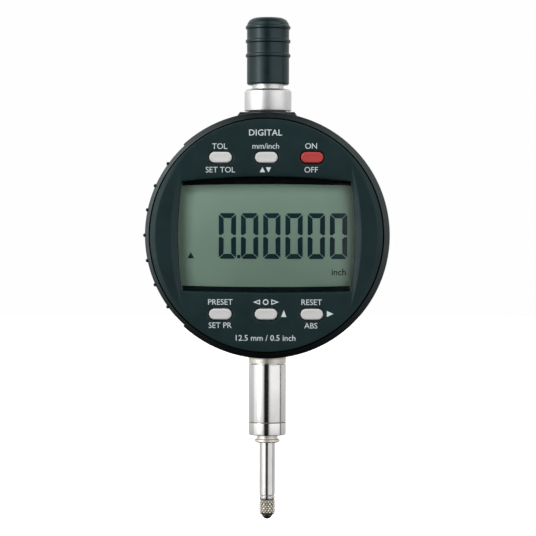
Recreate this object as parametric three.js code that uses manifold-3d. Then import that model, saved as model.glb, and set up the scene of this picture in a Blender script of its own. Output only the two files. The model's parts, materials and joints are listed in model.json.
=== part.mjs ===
// Digital dial indicator, 61 mm body, 3/8 in stem, 0.5 in travel.
// Millimetres, +Z up. The spindle runs along Z at x = 0, y = 0 and the display faces -Y.
// Sizes are written from the centre of the round body; the finished group is lifted by BODY_Z,
// so that the origin is the middle of the clamping length of the stem.
import * as THREE from 'three';
import { mergeVertices } from 'three/addons/utils/BufferGeometryUtils.js';
import Module from 'manifold-3d';

const wasm = await Module();
wasm.setup();

const BODY_Z = 40.4;

// Case, seen along Y
const CASE_R = 30.8;
const CASE_INNER_R = 28.5;
const BARREL_R = 30;
const RING_INNER_R = 29.3;
const RIB_BASE_R = 30.36;
const RIB_CREST_R = 30.86;
const RIB_PITCH = 12;
const RING_FRONT_Y = -14.8;
const RING_BACK_Y = -6;
const WEB_FRONT_Y = -3.9;
const WEB_BACK_Y = -3;
const CASE_BACK_Y = 10.6;
const LEDGE_Z = 31.13;
const HUMP_Z = 31.67;
const CASE_SEGMENTS = 60;

// Front shell of the display unit
const SHELL_R = 29.05;
const SHELL_INNER_R = 27.6;
const FACE_Y = -16;
const PLATE_BACK_Y = -14.4;
const SHELL_BACK_Y = -5.4;
const TROUGH_DEPTH = 1;
const TROUGH_REACH = 20;
const BEVEL_R = 32.65;
const BEVEL_SHIFT = 4.93;
const WINDOW_HALF_W = 21.9;
const WINDOW_SIDE = 21.1;
const WINDOW_TOP = 14.7;
const WINDOW_CORNER = 13.4;
const WINDOW_BOTTOM = -14.2;

// Keys: pills in two rows of three
const KEY_PITCH = 11.4;
const KEY_ROWS = { top: 19.4, bottom: -19.6 };
const KEY_W = 5.6;
const KEY_H = 2.7;

// Stem, spindle and cap, all on the Z axis
const STEM_R = 9.525 / 2;
const STEM_TOP = -32.9;
const STEM_END = -51.05;
const SPINDLE_R = 2;
const BORE_R = 2.3;
const TIP_SEAM = -66.6;
const BALL_R = 1.4;
const POINT_END = -71.5;
const TIP_END = -72.7;
const COLLAR_R = 6;
const TUBE_R = 4;
const CAP_R = 5.4;
const CAP_BOTTOM = 38.5;
const CAP_TOP = 55.6;
const TRAVEL = 12.5;

// Carrier on the spindle, at rest
const CARRIER_BOTTOM = -19.8;
const CARRIER_TOP = -11.8;
const PIN_Z = -15.8;

const GAP = 0.3;

const COLOURS = {
  caseBlack: [0x2a3033, 0.5, 0.1],
  shellBlack: [0x22302f, 0.55, 0.05],
  capBlack: [0x3a4144, 0.45, 0.1],
  steel: [0xc9c8c4, 0.25, 1],
  satin: [0xbfbfbc, 0.4, 1],
  warm: [0xb8ad9c, 0.45, 1],
  brass: [0xb89b5e, 0.4, 1],
  carbide: [0x2c2b29, 0.3, 0.8],
  keyWhite: [0xcccac8, 0.5, 0],
  keyRed: [0xb04446, 0.5, 0],
  lcd: [0x76897b, 0.35, 0],
  glass: [0xdfe8e6, 0.08, 0],
  dark: [0x0c0e0f, 0.6, 0],
  board: [0x1f5a3a, 0.6, 0],
  rubber: [0x33373a, 0.85, 0],
  zinc: [0x9fa3a6, 0.4, 1],
};

const group = new THREE.Group();
group.name = 'digital_dial_indicator';

// --- small helpers ---------------------------------------------------------

function add(name, geometry, look) {
  const [color, roughness, metalness] = COLOURS[look];
  const material = new THREE.MeshStandardMaterial({ color, roughness, metalness });
  material.name = look;
  geometry.translate(0, 0, BODY_Z);
  const mesh = new THREE.Mesh(geometry, material);
  mesh.name = name;
  group.add(mesh);
}

function solid(geometry) {
  geometry.deleteAttribute('normal');
  geometry.deleteAttribute('uv');
  const merged = mergeVertices(geometry, 1e-5);
  return new wasm.Manifold(new wasm.Mesh({
    numProp: 3,
    vertProperties: new Float32Array(merged.attributes.position.array),
    triVerts: new Uint32Array(merged.index.array),
  }));
}

function shell(body) {
  const mesh = body.getMesh();
  const geometry = new THREE.BufferGeometry();
  geometry.setAttribute('position', new THREE.BufferAttribute(mesh.vertProperties, 3));
  geometry.setIndex(new THREE.BufferAttribute(mesh.triVerts, 1));
  return geometry;
}

function unite(...geometries) {
  return geometries.map(solid).reduce((sum, item) => sum.add(item));
}

function cut(body, ...geometries) {
  return geometries.map(solid).reduce((rest, item) => rest.subtract(item), body);
}

// Profile points are [radius, height], put in anticlockwise order so that faces point outwards
function profileOf(points) {
  const profile = points.map(([r, h]) => new THREE.Vector2(r, h));
  return THREE.ShapeUtils.area(profile) < 0 ? profile.reverse() : profile;
}

// Turned about the vertical axis: points are [radius, z]
function turnedZ(points, segments = 32) {
  return new THREE.LatheGeometry(profileOf(points), segments).rotateX(Math.PI / 2);
}

// Turned about an axis along Y through (x, z): points are [radius, y]
function turnedY(points, segments = 32, x = 0, z = 0) {
  return new THREE.LatheGeometry(profileOf(points), segments).translate(x, 0, z);
}

function rodY(r, y0, y1, x = 0, z = 0, segments = 24) {
  return new THREE.CylinderGeometry(r, r, y1 - y0, segments).translate(x, (y0 + y1) / 2, z);
}

function rodZ(r, z0, z1, segments = 24) {
  return new THREE.CylinderGeometry(r, r, z1 - z0, segments).rotateX(Math.PI / 2).translate(0, 0, (z0 + z1) / 2);
}

function rodX(r, x0, x1, y, z, segments = 16) {
  return new THREE.CylinderGeometry(r, r, x1 - x0, segments).rotateZ(Math.PI / 2).translate((x0 + x1) / 2, y, z);
}

function box(x0, x1, y0, y1, z0, z1) {
  return new THREE.BoxGeometry(x1 - x0, y1 - y0, z1 - z0).translate((x0 + x1) / 2, (y0 + y1) / 2, (z0 + z1) / 2);
}

// A closed ring profile with a square section, about Z or about Y
function ringPoints(r0, r1, h0, h1) {
  return [[r0, h0], [r1, h0], [r1, h1], [r0, h1], [r0, h0]];
}

// Outline in X and Z, thick in Y
function plateY(shape, y0, y1, curveSegments = 8) {
  const geometry = new THREE.ExtrudeGeometry(shape, { depth: y1 - y0, bevelEnabled: false, curveSegments });
  return geometry.rotateX(Math.PI / 2).translate(0, y1, 0);
}

function outline(points) {
  return new THREE.Shape(points.map(([x, z]) => new THREE.Vector2(x, z)));
}

function pill(w, h, x = 0, z = 0) {
  const r = h / 2;
  const run = w / 2 - r;
  const shape = new THREE.Shape();
  shape.moveTo(x - run, z - r);
  shape.lineTo(x + run, z - r);
  shape.absarc(x + run, z, r, -Math.PI / 2, Math.PI / 2, false);
  shape.lineTo(x - run, z + r);
  shape.absarc(x - run, z, r, Math.PI / 2, Math.PI * 1.5, false);
  return shape;
}

// Barrel outline: bulging sides and an arched top edge
function barrel(side, corner, top, topCorner, bottom) {
  const shape = new THREE.Shape();
  shape.moveTo(-corner, bottom);
  shape.lineTo(corner, bottom);
  shape.quadraticCurveTo(2 * side - corner, (topCorner + bottom) / 2, corner, topCorner);
  shape.quadraticCurveTo(0, 2 * top - topCorner, -corner, topCorner);
  shape.quadraticCurveTo(corner - 2 * side, (topCorner + bottom) / 2, -corner, bottom);
  return shape;
}

function around(count, startDeg, radius) {
  const places = [];
  for (let i = 0; i < count; i += 1) {
    const a = THREE.MathUtils.degToRad(startDeg + (360 / count) * i);
    places.push([radius * Math.cos(a), radius * Math.sin(a)]);
  }
  return places;
}

const KEYS = [];
for (const [row, z] of Object.entries(KEY_ROWS)) {
  for (const column of [-1, 0, 1]) {
    KEYS.push({ row, column, x: column * KEY_PITCH, z });
  }
}

const DISPLAY_SCREWS = [[-19.3, 17.8], [19.3, 17.8], [-19.3, -17.8], [19.3, -17.8]];
const COVER_SCREWS = around(4, 45, 25.2);
const CHASSIS_SCREWS = [[-7.5, 17.5], [10, 15.5], [14.6, -8.5], [-7.5, -15]];
const BATTERY = { x: -17, z: -5, r: 5.8 };

// --- case --------------------------------------------------------------------

function caseBody() {
  const wall = turnedY([
    [CASE_R - 0.6, RING_FRONT_Y], [CASE_R, RING_FRONT_Y + 0.7], [CASE_R, RING_BACK_Y],
    [BARREL_R, RING_BACK_Y + 0.5], [BARREL_R, CASE_BACK_Y - 0.8], [BARREL_R - 0.8, CASE_BACK_Y],
    [CASE_INNER_R, CASE_BACK_Y], [CASE_INNER_R, 7.8], [27.3, 7.8], [27.3, WEB_BACK_Y], [9, WEB_BACK_Y],
    [9, WEB_FRONT_Y], [RING_INNER_R, WEB_FRONT_Y], [RING_INNER_R, RING_FRONT_Y], [CASE_R - 0.6, RING_FRONT_Y],
  ], CASE_SEGMENTS);
  const ledge = outline([[-8.1, 29.3], [8.1, 29.3], [6.9, LEDGE_Z], [-6.9, LEDGE_Z]]);
  const hump = outline([[-5.3, LEDGE_Z - 0.1], [5.3, LEDGE_Z - 0.1], [4.4, HUMP_Z], [-4.4, HUMP_Z]]);
  const topBoss = new THREE.CylinderGeometry(7.2, 7.2, 4, 24).rotateX(Math.PI / 2).translate(0, 0, 27.5);
  const lowBoss = new THREE.CylinderGeometry(7, 7, 4.1, 24).rotateX(Math.PI / 2).translate(0, 0, -27.5);
  return unite(wall, plateY(ledge, -8.5, 8.5), plateY(hump, -7, 7), topBoss, lowBoss);
}

// Half-round grip ribs on one side of the ring, standing on a slightly sunk band
function gripRibs(body) {
  const sector = [];
  for (let i = 0; i <= 20; i += 1) {
    const a = Math.PI + THREE.MathUtils.degToRad(-47.5 + 4.75 * i);
    sector.push([40 * Math.cos(a), 40 * Math.sin(a)]);
  }
  const pieSlice = solid(plateY(outline([[-20, 0], ...sector.reverse()].reverse()), RING_FRONT_Y - 1, RING_BACK_Y + 0.1));
  const band = solid(turnedY(ringPoints(RIB_BASE_R, 34, RING_FRONT_Y - 1, RING_BACK_Y - 0.6), CASE_SEGMENTS));
  let ring = body.subtract(pieSlice.intersect(band));
  for (let i = -3; i <= 3; i += 1) {
    const a = Math.PI + THREE.MathUtils.degToRad(i * RIB_PITCH);
    const r = RIB_CREST_R - 0.45;
    const rib = rodY(0.45, RING_FRONT_Y + 0.5, RING_BACK_Y - 0.7, r * Math.cos(a), r * Math.sin(a), 8);
    ring = ring.add(solid(rib));
  }
  return ring;
}

function makeCase() {
  let body = gripRibs(caseBody());
  const posts = COVER_SCREWS.map(([x, z]) => rodY(1.9, WEB_BACK_Y - 0.1, 8.3, x, z, 10))
    .concat(CHASSIS_SCREWS.map(([x, z]) => rodY(1.7, WEB_BACK_Y - 0.1, 5.8, x, z, 10)));
  for (const post of posts) {
    body = body.add(solid(post));
  }
  body = cut(
    body,
    rodZ(5.5, 29.75, 40, 24),
    rodZ(5.1, -36, -29.75, 24),
    rodZ(4.3, -40, 40, 24),
    rodY(RING_INNER_R, -18, WEB_FRONT_Y, 0, 0, CASE_SEGMENTS),
    turnedY(ringPoints(29, 29.85, -8.3, -6.7), CASE_SEGMENTS),
  );
  for (const [x, z] of COVER_SCREWS) {
    body = body.subtract(solid(rodY(1.1, 1, 9, x, z, 8)));
  }
  for (const [x, z] of CHASSIS_SCREWS) {
    body = body.subtract(solid(rodY(0.95, 0.5, 6.5, x, z, 8)));
  }
  add('case_housing', shell(body), 'caseBlack');
}

function makeBackCover() {
  const cover = turnedY([
    [0, 8.6], [28.1, 8.6], [28.1, 9.7], [27.5, 10.3], [23.4, 10.3], [22.9, 10], [0, 10],
  ], CASE_SEGMENTS);
  let body = solid(cover);
  for (const [x, z] of COVER_SCREWS) {
    body = cut(body, rodY(1.1, 8, 11, x, z, 8), rodY(2.25, 9.3, 11, x, z, 12));
  }
  body = cut(body, rodY(BATTERY.r + 1.2, 9.3, 11, BATTERY.x, BATTERY.z, 28));
  body = cut(body, rodY(BATTERY.r + 0.35, 8, 11, BATTERY.x, BATTERY.z, 28));
  add('back_cover', shell(body), 'caseBlack');
}

// Pan-head screw along Y: head towards +Y (back) with a cross recess
function screwY(name, x, z, shankR, headR, tip, seat, top, segments = 8) {
  const rounded = headR * 0.7;
  const edge = seat + (top - seat) * 0.5;
  const body = turnedY([
    [0, tip], [shankR * 0.7, tip], [shankR, tip + 0.3], [shankR, seat], [headR, seat], [headR, edge], [rounded, top], [0, top],
  ], segments, x, z);
  const depth = (top - seat) * 0.6;
  const slotA = box(x - headR * 0.55, x + headR * 0.55, top - depth, top + 1, z - headR * 0.12, z + headR * 0.12);
  const slotB = box(x - headR * 0.12, x + headR * 0.12, top - depth, top + 1, z - headR * 0.55, z + headR * 0.55);
  add(name, shell(cut(solid(body), slotA, slotB)), 'zinc');
}

function makeCaseFasteners() {
  COVER_SCREWS.forEach(([x, z], i) => {
    screwY(`cover_screw_${i + 1}`, x, z, 0.8, 1.95, 2, 9.55, 10.25, 12);
  });
  add('cover_gasket', turnedY(ringPoints(27.4, 28.2, 8.1, 8.4), 36), 'rubber');
}

// --- battery -------------------------------------------------------------------

function makeBattery() {
  const { x, z, r } = BATTERY;
  const cell = turnedY([
    [0, 2.2], [r - 1, 2.2], [r - 1, 2.5], [r - 0.3, 2.5], [r, 2.8], [r, 7.2], [r - 0.3, 7.5], [0, 7.5],
  ], 24, x, z);
  add('battery_cell', cell, 'steel');

  const lid = turnedY([
    [0, 8], [r + 0.05, 8], [r + 0.05, 9.6], [r + 0.9, 9.6], [r + 0.9, 10], [r + 0.6, 10.25], [0, 10.25],
  ], 28, x, z);
  add('battery_lid', shell(cut(solid(lid), box(x - 4.2, x + 4.2, 9.35, 11, z - 0.8, z + 0.8))), 'caseBlack');

  const tongue = box(x - 1.5, x + 1.5, 1.5, 1.8, z - 4, z + 4);
  const leg = box(x - 1.5, x + 1.5, -2.6, 1.6, z + 3.7, z + 4);
  const foot = box(x - 1.5, x + 1.5, -2.6, -2.3, z + 3.8, z + 7);
  add('battery_contact_front', shell(unite(tongue, leg, foot)), 'brass');

  const blade = box(x - 1.5, x + 1.5, 2.4, 6.4, z - r - 0.7, z - r - 0.35);
  const base = box(x - 1.5, x + 1.5, -2.6, 2.5, z - r - 0.7, z - r - 0.35);
  const shoe = box(x - 1.5, x + 1.5, -2.6, -2.3, z - r - 2.8, z - r - 0.5);
  add('battery_contact_side', shell(unite(blade, base, shoe)), 'brass');
}

// --- display unit ----------------------------------------------------------------

function troughCutter() {
  const shape = barrel(WINDOW_HALF_W + 0.05, 18.2, 22.5, 20.5, -22);
  const dish = new THREE.ExtrudeGeometry(shape, {
    depth: 1, bevelEnabled: true, bevelThickness: 1.1, bevelSize: 2.4, bevelSegments: 1, curveSegments: 14,
  });
  dish.rotateX(Math.PI / 2).translate(0, FACE_Y + TROUGH_DEPTH - 1.1, 0);
  const rise = [];
  const reach = TROUGH_REACH;
  for (let i = 0; i <= 16; i += 1) {
    const z = -reach + (2 * reach * i) / 16;
    rise.push([TROUGH_DEPTH * (1 - (z / reach) ** 2) ** 2, z]);
  }
  const lens = outline([[-3, -reach], ...rise, [-3, reach]].map(([d, z]) => [FACE_Y + d, z]));
  const sheet = new THREE.ExtrudeGeometry(lens, { depth: 60, bevelEnabled: false });
  const toX = new THREE.Matrix4().makeBasis(
    new THREE.Vector3(0, 1, 0), new THREE.Vector3(0, 0, 1), new THREE.Vector3(1, 0, 0),
  );
  sheet.applyMatrix4(toX).translate(-30, 0, 0);
  const whole = solid(dish).intersect(solid(sheet));
  return whole;
}

function crescentEnvelope(side) {
  return solid(turnedY([
    [0, FACE_Y - 1], [BEVEL_R - 2, FACE_Y - 1], [BEVEL_R + 6, FACE_Y + 3], [BEVEL_R + 6, 0], [0, 0],
  ], 80, side * BEVEL_SHIFT, 0));
}

function makeDisplayShell() {
  const cup = turnedY([
    [0, FACE_Y], [SHELL_R - 0.5, FACE_Y], [SHELL_R, FACE_Y + 0.5], [SHELL_R, -8.5], [28.2, -8.2], [28.2, -6.8],
    [SHELL_R, -6.5], [SHELL_R, SHELL_BACK_Y], [SHELL_INNER_R, SHELL_BACK_Y], [SHELL_INNER_R, PLATE_BACK_Y], [0, PLATE_BACK_Y],
  ], CASE_SEGMENTS);
  let body = solid(cup);
  body = body.intersect(crescentEnvelope(1)).intersect(crescentEnvelope(-1));
  body = body.subtract(troughCutter());
  for (const [x, z] of DISPLAY_SCREWS) {
    body = body.add(solid(rodY(1.6, PLATE_BACK_Y - 0.1, -5.5, x, z, 10)));
  }
  const opening = barrel(WINDOW_HALF_W, WINDOW_SIDE, WINDOW_TOP, WINDOW_CORNER, WINDOW_BOTTOM);
  body = cut(body, plateY(opening, -18, -14.3, 10));
  for (const key of KEYS) {
    body = cut(body, plateY(pill(KEY_W + 0.6, KEY_H + 0.6, key.x, key.z), -18, -14.3, 5));
  }
  for (const [x, z] of DISPLAY_SCREWS) {
    body = body.subtract(solid(rodY(0.8, -10, -5, x, z, 8)));
  }
  add('display_shell', shell(body), 'shellBlack');
}

function makeWindow() {
  const flange = barrel(22.9, 22.5, 15.2, 14.2, -14.8);
  const boss = barrel(WINDOW_HALF_W - GAP, WINDOW_SIDE - GAP, WINDOW_TOP - GAP, WINDOW_CORNER - GAP, WINDOW_BOTTOM + GAP);
  add('window_lens', shell(unite(plateY(flange, -14.1, -13.3), plateY(boss, -14.9, -13.4))), 'glass');

  const frame = barrel(22.9, 22.6, 15.2, 14.4, -14.8);
  const clear = barrel(21.75, 21.3, 12.85, 12.45, -12.9);
  const rim = cut(solid(plateY(frame, -13, -12.3)), plateY(clear, -14, -12, 10));
  const ends = [-1, 1].map((side) => box(side * 23.1 - 0.25, side * 23.1 + 0.25, -12.9, -8.2, -10, 10));
  const joined = ends.reduce((sum, end) => sum.add(solid(end)), rim);
  const bridge = [-1, 1].map((side) => box(side * 22.9 - 0.45, side * 22.9 + 0.45, -13, -12.3, -10, 10));
  add('lcd_frame', shell(bridge.reduce((sum, item) => sum.add(solid(item)), joined)), 'dark');

  add('lcd_panel', box(-22.4, 22.4, -12, -10, -14.3, 14.3), 'lcd');
  add('zebra_strip_upper', box(-20, 20, -9.7, -8, 11.8, 13.8), 'rubber');
  add('zebra_strip_lower', box(-20, 20, -9.7, -8, -13.8, -11.8), 'rubber');
}

function makeKeys() {
  const columnNames = { '-1': 'left', 0: 'middle', 1: 'right' };
  for (const key of KEYS) {
    const bevel = 0.25;
    const button = new THREE.ExtrudeGeometry(pill(KEY_W - 2 * bevel, KEY_H - 2 * bevel, key.x, key.z), {
      depth: 2.2, bevelEnabled: true, bevelThickness: bevel, bevelSize: bevel, bevelSegments: 1, curveSegments: 5,
    }).rotateX(Math.PI / 2).translate(0, -14.05, 0);
    const flange = plateY(pill(KEY_W + 1.3, KEY_H + 1.3, key.x, key.z), -14.1, -13.5, 4);
    const look = key.row === 'top' && key.column === 1 ? 'keyRed' : 'keyWhite';
    add(`key_${key.row}_${columnNames[key.column]}`, shell(unite(button, flange)), look);
  }
  for (const [row, z] of Object.entries(KEY_ROWS)) {
    let mat = solid(box(-14.6, 14.6, -9.5, -8, z - 2.6, z + 2.6));
    for (const column of [-1, 0, 1]) {
      mat = mat.add(solid(turnedY([[0, -12.6], [1.5, -12.6], [1.9, -11.4], [2.3, -9.4], [0, -9.4]], 10, column * KEY_PITCH, z)));
    }
    for (const column of [-1, 0, 1]) {
      mat = mat.subtract(solid(rodY(1.5, -10.6, -7, column * KEY_PITCH, z, 8)));
    }
    add(`key_mat_${row}`, shell(mat), 'rubber');
  }
}

function makeDisplayInside() {
  const board = cut(
    solid(rodY(26.9, -7.7, -6.5, 0, 0, 36)),
    ...DISPLAY_SCREWS.map(([x, z]) => rodY(2, -9, -5, x, z, 10)),
  );
  add('main_board', shell(board), 'board');
  add('main_board_chip', box(-5, 5, -6.2, -5.4, -4, 6), 'dark');

  let back = solid(rodY(27.2, -5.2, -4.2, 0, 0, 36));
  for (const [x, z] of DISPLAY_SCREWS) {
    back = cut(back, rodY(0.8, -6, -3, x, z, 8), rodY(1.6, -4.95, -3, x, z, 10));
  }
  add('display_back_plate', shell(back), 'dark');
  DISPLAY_SCREWS.forEach(([x, z], i) => {
    screwY(`display_screw_${i + 1}`, x, z, 0.55, 1.3, -9.5, -4.7, -4.3);
  });
}

class CirclePath extends THREE.Curve {
  constructor(radius, y, start, sweep) {
    super();
    Object.assign(this, { radius, y, start, sweep });
  }

  getPoint(t) {
    const a = this.start + this.sweep * t;
    return new THREE.Vector3(this.radius * Math.cos(a), this.y, this.radius * Math.sin(a));
  }
}

function makeDisplayRetainers() {
  const wire = new THREE.Shape().absarc(0, 0, 0.42, 0, Math.PI * 2);
  const path = new CirclePath(28.98, -7.5, -Math.PI / 2 + 0.12, Math.PI * 2 - 0.24);
  const ring = new THREE.ExtrudeGeometry(wire, { steps: 44, extrudePath: path, curveSegments: 3, bevelEnabled: false });
  add('display_snap_ring', shell(solid(ring)), 'steel');
  add('display_friction_ring', turnedY(ringPoints(28.1, 29, -5.1, -4.5), 36), 'rubber');
}

// --- stem and top fittings ------------------------------------------------------------

function makeStem() {
  const stem = turnedZ([
    [3.6, -22.4], [3.9, -22.4], [3.9, STEM_TOP], [STEM_R, STEM_TOP], [STEM_R, -47.63], [STEM_R - 0.2, -47.66],
    [STEM_R - 0.2, -47.84], [STEM_R, -47.87], [STEM_R, STEM_END + 0.3], [STEM_R - 0.3, STEM_END], [2.95, STEM_END],
    [2.95, -48.7], [3.6, -48.7], [3.6, -22.4],
  ], 28);
  add('stem', stem, 'steel');
  add('stem_collar', turnedZ([
    [4.2, -30], [4.85, -30], [4.85, -31.4], [4.72, -31.7], [4.72, -32.7], [4.2, -32.7], [4.2, -30],
  ], 28), 'warm');
}

function makeBushes() {
  add('guide_bush', turnedZ([
    [BORE_R, -43], [3.3, -43], [3.3, -48.4], [2.65, -48.4], [2.65, -52.2], [3.18, -52.2], [3.18, -52.75], [2.9, -53],
    [BORE_R, -53], [BORE_R, -43],
  ], 24), 'warm');
  add('stem_upper_bush', turnedZ(ringPoints(BORE_R, 3.3, -34, -25), 24), 'brass');
  add('travel_bumper', turnedZ(ringPoints(2.4, 3.9, -22.1, -20.1), 24), 'rubber');
}

function makeTopFittings() {
  add('top_collar', turnedZ([
    [4.3, 30.05], [5.2, 30.05], [5.2, 31.8], [COLLAR_R, 31.8], [COLLAR_R, 36.6], [COLLAR_R - 0.2, 37.1],
    [COLLAR_R - 0.7, 37.3], [4.3, 37.3], [4.3, 30.05],
  ], 32), 'satin');
  add('guide_tube', turnedZ([
    [BORE_R, 27.6], [TUBE_R, 27.6], [TUBE_R, 52.5], [TUBE_R - 0.4, 52.9], [BORE_R, 52.9], [BORE_R, 27.6],
  ], 24), 'steel');
}

// --- spindle and what moves with it ------------------------------------------------------

function makeSpindle() {
  add('spindle', turnedZ([
    [0, -61.5], [1.2, -61.5], [1.2, TIP_SEAM + 0.1], [1.85, TIP_SEAM + 0.1], [SPINDLE_R, TIP_SEAM + 0.25],
    [SPINDLE_R, 52.9], [1.8, 53.1], [1.1, 53.1], [1.1, 47.5], [0, 47.5],
  ], 24), 'steel');
}

function contactPointProfile() {
  const points = [[0, -62], [0.9, -62], [0.9, TIP_SEAM - 0.2], [1.85, TIP_SEAM - 0.2], [1.95, TIP_SEAM - 0.35]];
  points.push([1.95, -67.6], [2, -67.75], [2, -70.6], [1.88, -71], [1.72, POINT_END]);
  return points;
}

function makeContactPoint() {
  const ballZ = TIP_END + BALL_R;
  const seat = BALL_R + 0.25;
  const profile = contactPointProfile();
  profile.push([Math.sqrt(seat ** 2 - (ballZ - POINT_END) ** 2), POINT_END]);
  for (const deg of [20, 50]) {
    const a = THREE.MathUtils.degToRad(deg);
    profile.push([seat * Math.cos(a), ballZ + seat * Math.sin(a)]);
  }
  profile.push([0, ballZ + seat]);
  add('contact_point', turnedZ(profile, 20), 'warm');
  add('contact_ball', new THREE.SphereGeometry(BALL_R, 14, 8).rotateX(Math.PI / 2).translate(0, 0, ballZ), 'carbide');
}

// Lifting cap: grip section with three rings, rounded shoulder, bore for the guide tube
function makeCap() {
  const profile = [[4.3, CAP_BOTTOM], [CAP_R - 0.3, CAP_BOTTOM], [CAP_R, CAP_BOTTOM + 0.3]];
  for (const z of [45.9, 49.6, 53.2]) {
    profile.push([CAP_R, z - 0.55], [CAP_R + 0.38, z - 0.2], [CAP_R + 0.38, z + 0.15], [CAP_R, z + 0.45]);
  }
  profile.push([CAP_R - 0.25, 54.3], [CAP_R - 0.65, 54.95], [CAP_R - 1.5, 55.45], [CAP_R - 2.3, CAP_TOP], [0, CAP_TOP], [0, 53.5], [4.3, 53.5]);
  profile.push([4.3, CAP_BOTTOM]);
  const body = cut(solid(turnedZ(profile, 28)), rodZ(1.1, 53, 57, 10), rodZ(2.1, 54.5, 57, 14));
  add('lift_cap', shell(body), 'capBlack');
}

function makeCapScrew() {
  const body = turnedZ([
    [0, 48.5], [0.6, 48.5], [0.8, 48.8], [0.8, 54.8], [1.8, 54.8], [1.8, 55.15], [1.5, 55.4], [0, 55.4],
  ], 14);
  add('cap_screw', shell(cut(solid(body), box(-2, 2, -0.25, 0.25, 55, 56))), 'zinc');
}

function makeCarrier() {
  let block = solid(box(-5, 5, -2.7, 3.2, CARRIER_BOTTOM, CARRIER_TOP));
  block = cut(block, rodZ(BORE_R, CARRIER_BOTTOM - 1, CARRIER_TOP + 1, 24), rodX(1.1, 2.2, 6, 0, PIN_Z, 12));
  block = cut(block, rodX(1.1, -6, -2, 0, PIN_Z, 12));
  add('carrier', shell(block), 'zinc');
  add('carrier_clamp_screw', rodX(0.8, -5.2, -2.35, 0, PIN_Z, 14), 'steel');
  add('anti_rotation_pin', rodX(0.75, 2.45, 9.2, 0, PIN_Z, 16), 'steel');
  add('scale_plate', box(-5, 5, 3.5, 4.5, CARRIER_BOTTOM, 12), 'glass');
}

class HelixPath extends THREE.Curve {
  constructor(radius, z0, z1, turns) {
    super();
    Object.assign(this, { radius, z0, z1, turns });
  }

  getPoint(t) {
    const a = t * this.turns * Math.PI * 2;
    const z = this.z0 + (this.z1 - this.z0) * t;
    return new THREE.Vector3(this.radius * Math.cos(a), this.radius * Math.sin(a), z);
  }
}

function makeReturnSpring() {
  const wire = new THREE.Shape().absarc(0, 0, 0.22, 0, Math.PI * 2);
  const path = new HelixPath(3.1, CARRIER_TOP + 0.6, 27, 10);
  const coil = new THREE.ExtrudeGeometry(wire, { steps: 90, extrudePath: path, curveSegments: 2, bevelEnabled: false });
  add('return_spring', shell(solid(coil)), 'steel');
}

// --- fixed measuring parts ---------------------------------------------------------------------

function makeChassis() {
  const plate = outline([[-9.5, -17.5], [6, -17.5], [17.3, -12], [17.3, 10], [12.5, 19.5], [-9.5, 19.5]]);
  let body = solid(plateY(plate, 6.1, 7.2));
  for (const [x, z] of CHASSIS_SCREWS) {
    body = cut(body, rodY(0.95, 5, 8, x, z, 10));
  }
  body = cut(body, plateY(pill(8, 5, 0, 13), 5, 8, 5));
  add('chassis_plate', shell(body), 'zinc');
  CHASSIS_SCREWS.forEach(([x, z], i) => {
    screwY(`chassis_screw_${i + 1}`, x, z, 0.65, 1.4, 1, 7.45, 8.15);
  });
  add('read_head_board', box(-9, 6.4, 4.8, 5.8, -6, 10), 'board');
}

function makeGuideRail() {
  const rail = box(7, 8.4, -2.4, 5.8, -21, 2);
  const foot = box(7.2, 11.8, 4.6, 5.8, -6, 1.8);
  const z0 = PIN_Z - 1.3;
  const z1 = PIN_Z + TRAVEL + 1.3;
  const slot = box(6, 9, -1.05, 1.05, z0, z1);
  add('guide_rail', shell(cut(unite(rail, foot), slot)), 'steel');
}

makeCase();
makeBackCover();
makeCaseFasteners();
makeBattery();
makeDisplayShell();
makeWindow();
makeKeys();
makeDisplayInside();
makeDisplayRetainers();
makeStem();
makeBushes();
makeTopFittings();
makeSpindle();
makeContactPoint();
makeCap();
makeCapScrew();
makeCarrier();
makeReturnSpring();
makeChassis();
makeGuideRail();

export default group;
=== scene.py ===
"""Digital dial indicator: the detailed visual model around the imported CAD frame.

Shapes are written in millimetres from the centre of the round body, with x to the right of the
display, y away from its front and z up along the spindle. place() turns them into the row frame.
"""
import json
import math

import bmesh
import bpy
import numpy as np
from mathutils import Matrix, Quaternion, Vector
from mathutils.geometry import delaunay_2d_cdt


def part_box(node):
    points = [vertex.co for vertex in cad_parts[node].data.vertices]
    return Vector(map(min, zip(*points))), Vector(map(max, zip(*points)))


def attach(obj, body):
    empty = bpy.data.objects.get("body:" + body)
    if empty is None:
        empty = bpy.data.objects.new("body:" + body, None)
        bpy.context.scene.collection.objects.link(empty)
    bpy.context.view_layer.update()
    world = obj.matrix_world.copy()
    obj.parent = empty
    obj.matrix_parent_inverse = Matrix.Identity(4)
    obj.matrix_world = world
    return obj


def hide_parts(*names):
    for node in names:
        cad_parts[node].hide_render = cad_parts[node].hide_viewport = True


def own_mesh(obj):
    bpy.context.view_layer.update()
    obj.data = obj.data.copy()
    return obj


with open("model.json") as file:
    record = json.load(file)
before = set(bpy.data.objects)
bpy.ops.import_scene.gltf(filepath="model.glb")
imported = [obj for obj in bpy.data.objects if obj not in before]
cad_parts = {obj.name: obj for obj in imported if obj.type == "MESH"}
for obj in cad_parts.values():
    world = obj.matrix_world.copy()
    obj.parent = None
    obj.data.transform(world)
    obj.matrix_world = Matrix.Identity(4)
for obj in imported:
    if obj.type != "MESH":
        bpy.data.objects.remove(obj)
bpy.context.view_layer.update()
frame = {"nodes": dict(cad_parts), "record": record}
NODES = frame["nodes"]
MM = 0.001
SHARP_ANGLE = 32         # degrees; edges steeper than this stay sharp


def centre_of(node):
    lo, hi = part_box(node)
    return (lo + hi) / 2


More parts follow.
